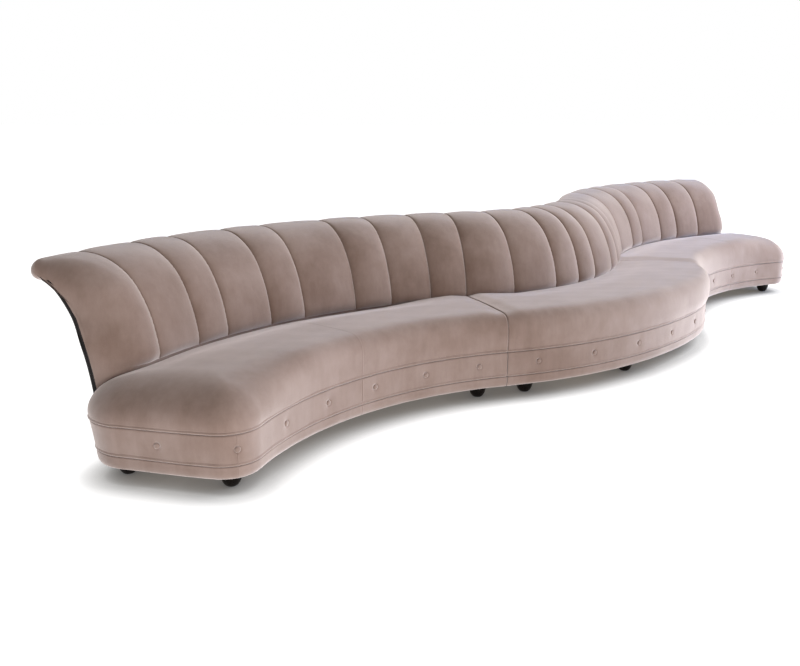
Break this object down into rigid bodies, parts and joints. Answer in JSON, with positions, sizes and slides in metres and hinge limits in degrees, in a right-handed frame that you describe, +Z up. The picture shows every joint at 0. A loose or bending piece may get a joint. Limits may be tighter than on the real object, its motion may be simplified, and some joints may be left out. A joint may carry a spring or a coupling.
{
  "type": "curved sofa",
  "caption": "Long serpentine sofa of joined curved modules with a channelled, rolled-top back, buttoned and piped base bands and short turned feet.",
  "frame": {"origin": "on the floor, under the middle of the sofa's bounding box", "axes": "+X along the sofa's length, towards the sitter's left; -Y is the way a sitter looks; +Z up"},
  "size_m": [6.221, 1.5116, 0.8706],
  "materials": {
    "velvet": "soft short-pile velvet, taupe rose",
    "lacquer": "black gloss lacquer",
    "timber": "planed hardwood",
    "board": "raw plywood",
    "steel": "zinc plated"
  },
  "bodies": {
    "root": {"left_base_panel": "board", "left_front_rail": "timber", "left_back_rail": "timber", "left_seam_rail": "timber", "left_end_rail": "timber", "left_seat_deck": "board", "left_top_rail": "timber", "left_base_band": "velvet", "left_button_band": "velvet", "left_seat_cushion": "velvet", "left_back_cushion": "velvet", "left_back_shell": "lacquer", "left_back_rib_1": "board", "left_back_rib_2": "board", "left_back_rib_3": "board", "left_front_foot_1": "lacquer", "left_front_foot_2": "lacquer", "left_rear_foot_1": "lacquer", "left_rear_foot_2": "lacquer", "middle_base_panel": "board", "middle_front_rail": "timber", "middle_back_rail": "timber", "middle_seam_rail": "timber", "middle_end_rail": "timber", "middle_seat_deck": "board", "middle_top_rail": "timber", "middle_base_band": "velvet", "middle_button_band": "velvet", "middle_seat_cushion": "velvet", "middle_back_cushion": "velvet", "middle_back_shell": "lacquer", "middle_back_rib_1": "board", "middle_back_rib_2": "board", "middle_front_foot_1": "lacquer", "middle_front_foot_2": "lacquer", "middle_front_foot_3": "lacquer", "middle_front_foot_4": "lacquer", "middle_rear_foot_1": "lacquer", "middle_rear_foot_2": "lacquer", "right_base_panel": "board", "right_front_rail": "timber", "right_back_rail": "timber", "right_seam_rail": "timber", "right_end_rail": "timber", "right_seat_deck": "board", "right_top_rail": "timber", "right_base_band": "velvet", "right_button_band": "velvet", "right_seat_cushion": "velvet", "right_back_cushion": "velvet", "right_back_shell": "lacquer", "right_back_rib_1": "board", "right_back_rib_2": "board", "right_back_rib_3": "board", "right_front_foot_1": "lacquer", "right_front_foot_2": "lacquer", "right_rear_foot_1": "lacquer", "right_rear_foot_2": "lacquer", "left_seam_connector": "steel", "right_seam_connector": "steel"}
  },
  "joints": []
}
